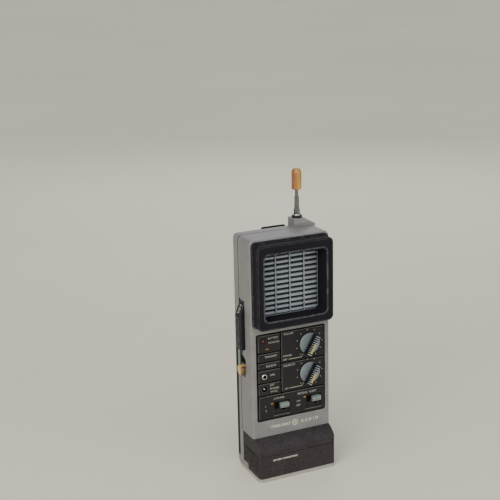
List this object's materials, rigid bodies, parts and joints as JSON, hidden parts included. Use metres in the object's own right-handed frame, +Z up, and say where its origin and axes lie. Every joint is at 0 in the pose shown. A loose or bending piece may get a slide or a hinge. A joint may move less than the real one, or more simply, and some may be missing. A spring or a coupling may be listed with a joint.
{
  "type": "walkie talkie",
  "caption": "Hand-held two-way radio: silver case, projecting black speaker surround, dark control panel, battery block and telescopic antenna.",
  "frame": {"origin": "centre of the flat base the radio stands on", "axes": "+Z up along the case towards the antenna, -Y out of the front with the speaker and controls, +X to the right seen from the front"},
  "size_m": [0.087, 0.0586, 0.292],
  "materials": {
    "case_silver": "warm silver-grey lacquer over moulded plastic",
    "bezel_black": "semi-gloss black plastic with a blue cast",
    "panel_brown": "dark brown-black anodised look",
    "block_black": "pebble-grained black-brown plastic",
    "grille_silver": "pale blue-silver",
    "knob_silver": "satin blue-silver",
    "grip_black": "black with bright edges",
    "chrome": "bright chrome",
    "orange_plastic": "amber orange, glossy",
    "black_plastic": "plain black plastic",
    "steel": "zinc plated",
    "lamp_red": "deep red lens",
    "lamp_amber": "amber lens",
    "board": "phenolic board",
    "paper": "treated paper cone",
    "foam": "foam",
    "tin_can": "tinned cans",
    "cell_jacket": "printed jacket",
    "brass": "brass"
  },
  "bodies": {
    "case": {"alert_switch": "black_plastic", "antenna_1": "chrome", "antenna_bush": "black_plastic", "antenna_collar": "chrome", "antenna_contact": "steel", "audio_chip": "black_plastic", "audio_transformer": "tin_can", "battery_cells": "cell_jacket", "battery_holder": "black_plastic", "battery_housing": "block_black", "battery_lamp": "lamp_red", "belt_clip": "black_plastic", "call_switch": "black_plastic", "capacitors": "cell_jacket", "case_screws": "steel", "cell_contacts": "steel", "cell_springs": "steel", "channel_switch": "black_plastic", "circuit_board": "board", "clip_rivets": "steel", "coil_cans": "tin_can", "control_panel": "panel_brown", "crystals": "tin_can", "dc_pin": "chrome", "dc_socket": "black_plastic", "earphone_jack": "chrome", "front_shell": "case_silver", "grip_plate": "block_black", "power_transistor": "steel", "rear_shell": "case_silver", "signal_lamp": "lamp_amber", "speaker_bezel": "bezel_black", "speaker_cone": "paper", "speaker_frame": "steel", "speaker_gasket": "foam", "speaker_grille": "grille_silver", "speaker_magnet": "steel", "squelch_pot": "steel", "switch_leaves": "steel", "talk_switch": "black_plastic", "volume_pot": "steel"},
    "volume_control": {"volume_knob": "knob_silver", "volume_grip": "grip_black", "volume_shaft": "brass"},
    "squelch_control": {"squelch_knob": "knob_silver", "squelch_grip": "grip_black", "squelch_shaft": "brass"},
    "channel_selector": {"channel_slider": "knob_silver"},
    "alert_selector": {"alert_slider": "knob_silver"},
    "talk_key": {"talk_bar": "black_plastic"},
    "call_key": {"call_button": "orange_plastic"},
    "door": {"battery_door": "block_black"},
    "mast_2": {"antenna_2": "chrome"},
    "mast_3": {"antenna_3": "chrome"},
    "mast_4": {"antenna_4": "chrome"},
    "mast_5": {"antenna_5": "chrome"},
    "mast_6": {"antenna_6": "chrome", "antenna_cap": "orange_plastic"}
  },
  "joints": [
    {"name": "volume_turn", "type": "hinge", "parent": "case", "child": "volume_control", "pos_m": [0.0194, -0.015, 0.1282], "axis": [0, 1, 0], "range_deg": [0, 300]},
    {"name": "squelch_turn", "type": "hinge", "parent": "case", "child": "squelch_control", "pos_m": [0.0194, -0.015, 0.0986], "axis": [0, 1, 0], "range_deg": [0, 300]},
    {"name": "channel_slide", "type": "slide", "parent": "case", "child": "channel_selector", "axis": [0, 0, 1], "range_m": [-0.004, 0]},
    {"name": "alert_slide", "type": "slide", "parent": "case", "child": "alert_selector", "axis": [0, 0, 1], "range_m": [-0.004, 0]},
    {"name": "talk_press", "type": "slide", "parent": "case", "child": "talk_key", "axis": [1, 0, 0], "range_m": [0, 0.002], "stiffness_N_per_m": 1200, "springref_m": -0.001},
    {"name": "call_press", "type": "slide", "parent": "case", "child": "call_key", "axis": [1, 0, 0], "range_m": [0, 0.002], "stiffness_N_per_m": 800, "springref_m": -0.001},
    {"name": "door_slide", "type": "slide", "parent": "case", "child": "door", "axis": [0, -1, 0], "range_m": [0, 0.045]},
    {"name": "antenna_pull_2", "type": "slide", "parent": "case", "child": "mast_2", "axis": [0, 0, 1], "range_m": [0, 0.175]},
    {"name": "antenna_pull_3", "type": "slide", "parent": "mast_2", "child": "mast_3", "axis": [0, 0, 1], "range_m": [0, 0.175]},
    {"name": "antenna_pull_4", "type": "slide", "parent": "mast_3", "child": "mast_4", "axis": [0, 0, 1], "range_m": [0, 0.175]},
    {"name": "antenna_pull_5", "type": "slide", "parent": "mast_4", "child": "mast_5", "axis": [0, 0, 1], "range_m": [0, 0.175]},
    {"name": "antenna_pull_6", "type": "slide", "parent": "mast_5", "child": "mast_6", "axis": [0, 0, 1], "range_m": [0, 0.175]}
  ]
}
